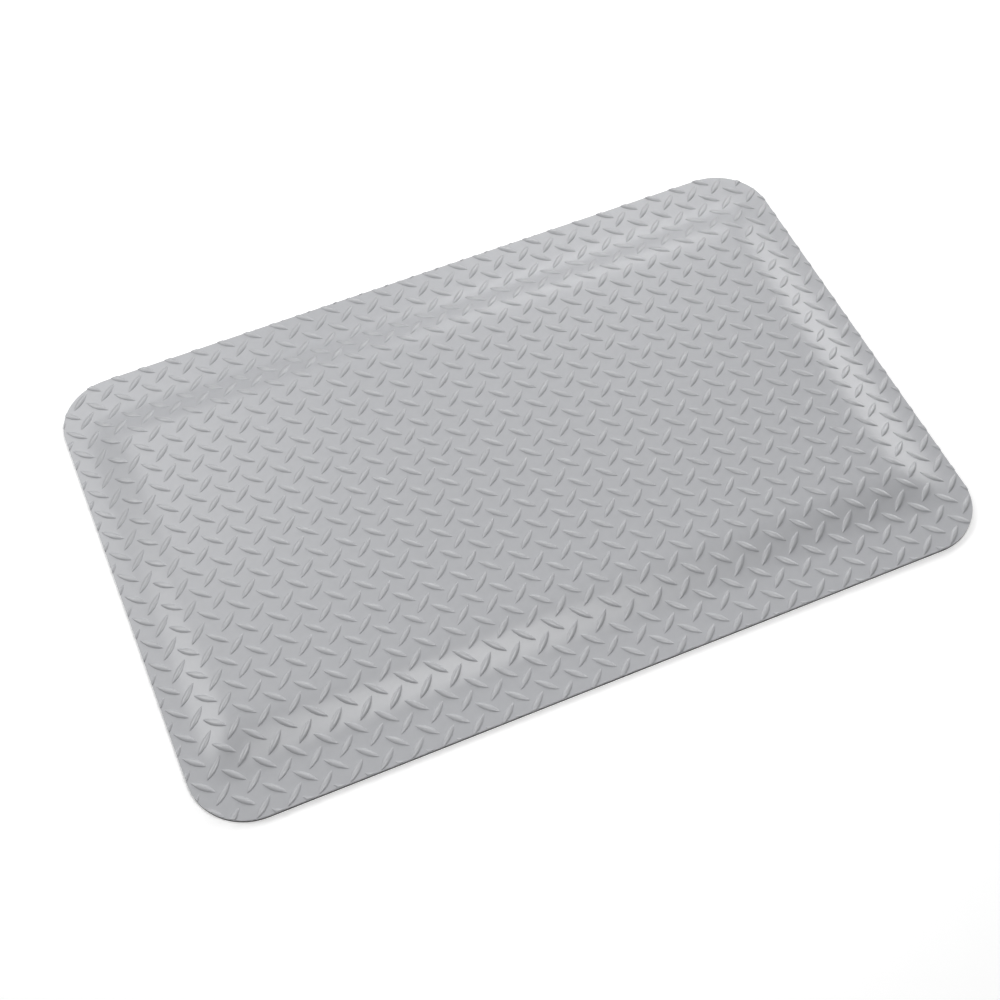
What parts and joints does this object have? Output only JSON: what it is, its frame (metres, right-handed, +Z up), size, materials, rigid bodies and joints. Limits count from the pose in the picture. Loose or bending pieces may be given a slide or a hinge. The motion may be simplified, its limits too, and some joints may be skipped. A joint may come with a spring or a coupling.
{
  "type": "anti fatigue mat",
  "caption": "Rectangular anti-fatigue floor mat with rounded corners, sloped borders and a raised deck-plate tread, in grey vinyl over a dark sponge core.",
  "frame": {"origin": "middle of the underside, on the floor", "axes": "+Z up, X along the long side, Y along the short side; the picture looks from the -Y side"},
  "size_m": [0.9144, 0.6096, 0.0204],
  "materials": {
    "grey_vinyl": "embossed flexible PVC, satin",
    "cured_adhesive": "cured laminating adhesive, sealed inside",
    "dark_sponge": "closed-cell sponge, cut edge",
    "grip_rubber": "dense grip skin, fine pebble"
  },
  "bodies": {
    "root": {"wear_sheet": "grey_vinyl", "bond_film": "cured_adhesive", "sponge_core": "dark_sponge", "grip_skin": "grip_rubber"}
  },
  "joints": []
}
